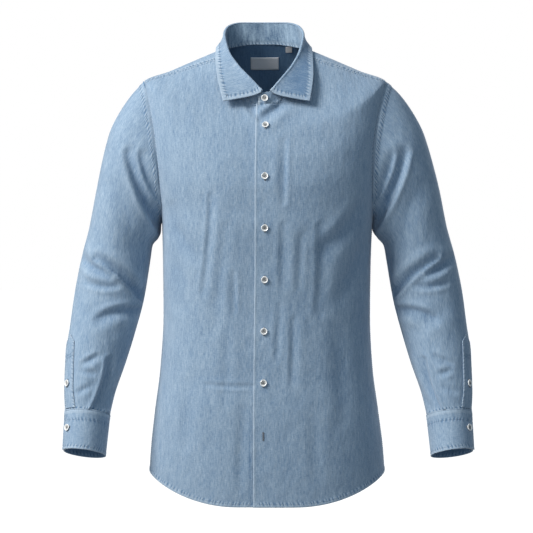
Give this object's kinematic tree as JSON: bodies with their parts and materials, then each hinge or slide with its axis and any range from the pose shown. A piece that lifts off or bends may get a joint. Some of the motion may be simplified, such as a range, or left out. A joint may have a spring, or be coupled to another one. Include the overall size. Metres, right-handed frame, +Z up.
{
  "type": "denim shirt",
  "caption": "Long-sleeved light blue denim shirt with a spread collar, button front, curved tail and buttoned cuffs, hollow in its worn shape.",
  "frame": {"origin": "between the shoulders, level with the side of the neck seam, where a wearer holds the shirt up", "axes": "+Z up along the wearer, the front faces -Y, +X is the wearer's left"},
  "size_m": [0.6836, 0.2527, 0.8271],
  "materials": {
    "denim": "light washed twill with white weft flecks and paler puckered seams",
    "button": "off-white, polished, four holes",
    "label": "blank grey satin",
    "tag": "blank white tape"
  },
  "bodies": {
    "root": {"front_right": "denim", "front_left": "denim", "back": "denim", "yoke": "denim", "collar_stand": "denim", "collar_leaf": "denim", "sleeve_right": "denim", "cuff_right": "denim", "placket_right": "denim", "sleeve_left": "denim", "cuff_left": "denim", "placket_left": "denim", "button_placket_right": "button", "button_cuff_right": "button", "button_placket_left": "button", "button_cuff_left": "button", "button_collar": "button", "button_front_1": "button", "button_front_2": "button", "button_front_3": "button", "button_front_4": "button", "button_front_5": "button", "button_front_6": "button", "neck_label": "label", "size_tag": "tag"}
  },
  "joints": []
}
